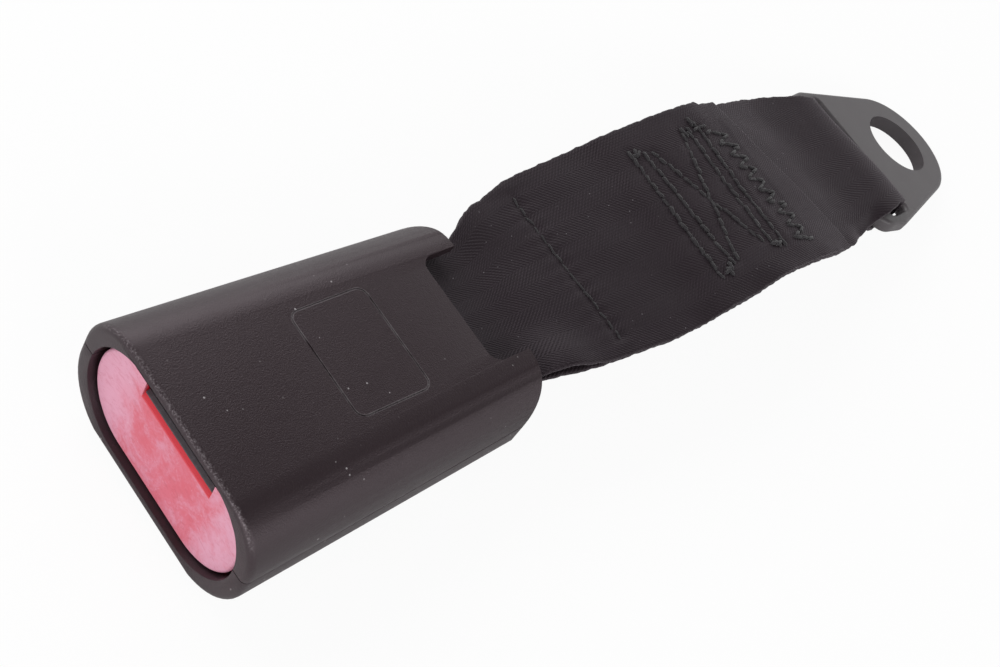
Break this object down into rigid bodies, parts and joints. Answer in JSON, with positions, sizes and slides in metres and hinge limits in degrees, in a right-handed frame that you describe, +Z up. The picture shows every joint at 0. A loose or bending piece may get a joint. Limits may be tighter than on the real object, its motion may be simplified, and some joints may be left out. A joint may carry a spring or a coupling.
{
  "type": "seat belt buckle",
  "caption": "Push-button seat belt buckle in a rounded two-part casing, on a short sewn webbing stalk with a bolted steel anchor plate.",
  "frame": {"origin": "centre of the anchor plate's bolt hole, at half the plate's thickness", "axes": "+X along the stalk from the buckle's mouth to the anchor plate's nose, +Y to the left seen from the mouth, +Z up, the casing lying level on its flat side"},
  "size_m": [0.2558, 0.055, 0.0297],
  "materials": {
    "casing_plastic": "fine-grained black moulding",
    "button_plastic": "red moulding, bleached on its face",
    "guide_plastic": "plain grey moulding",
    "frame_steel": "zinc-plated sheet",
    "hardened_steel": "bright hardened steel",
    "spring_steel": "drawn wire",
    "inner_plastic": "natural white moulding",
    "pad_rubber": "soft foam rubber",
    "webbing": "twill-woven polyester, charcoal black",
    "thread": "twisted polyester thread",
    "coated_steel": "dark coating over thick plate"
  },
  "bodies": {
    "anchor": {"anchor_plate": "coated_steel"},
    "strap": {"webbing_strap": "webbing", "box_stitching": "thread", "tack_stitching": "thread"},
    "buckle": {"upper_shell": "casing_plastic", "lower_shell": "casing_plastic", "tongue_guide": "guide_plastic", "buckle_frame": "frame_steel", "latch_pin": "hardened_steel", "spring_carrier": "inner_plastic", "strap_bar_sleeve": "inner_plastic", "frame_pads": "pad_rubber", "button_springs": "spring_steel", "lock_springs": "spring_steel", "ejector_spring": "spring_steel", "latch_spring": "spring_steel"},
    "button": {"release_button": "button_plastic"},
    "ejector": {"ejector": "inner_plastic"},
    "latch": {"latch": "hardened_steel"},
    "lock_bar": {"lock_bar": "hardened_steel"}
  },
  "joints": [
    {"name": "strap_at_plate", "type": "hinge", "parent": "anchor", "child": "strap", "pos_m": [-0.03224, 0, 0.00703], "axis": [0, 1, 0], "range_deg": [-35, 35]},
    {"name": "buckle_on_strap", "type": "hinge", "parent": "strap", "child": "buckle", "pos_m": [-0.1775, 0, 0.01236], "axis": [0, 1, 0], "range_deg": [-8, 8]},
    {"name": "button_press", "type": "slide", "parent": "buckle", "child": "button", "axis": [1, 0, 0], "range_m": [0, 0.006], "stiffness_N_per_m": 900, "springref_m": -0.005, "deforming": ["button_springs"]},
    {"name": "ejector_slide", "type": "slide", "parent": "buckle", "child": "ejector", "axis": [1, 0, 0], "range_m": [0, 0.012], "stiffness_N_per_m": 250, "springref_m": -0.012, "deforming": ["ejector_spring"]},
    {"name": "latch_turn", "type": "hinge", "parent": "buckle", "child": "latch", "pos_m": [-0.1935, 0, 0.00926], "axis": [0, 1, 0], "range_deg": [0, 12.6]},
    {"name": "lock_slide", "type": "slide", "parent": "buckle", "child": "lock_bar", "axis": [1, 0, 0], "range_m": [-0.0085, 0], "deforming": ["lock_springs"]}
  ],
  "couplings": [
    {"joint": "latch_turn", "follows": "ejector_slide", "rad_per_m": 18.18},
    {"joint": "lock_slide", "follows": "ejector_slide", "ratio": -0.7}
  ]
}
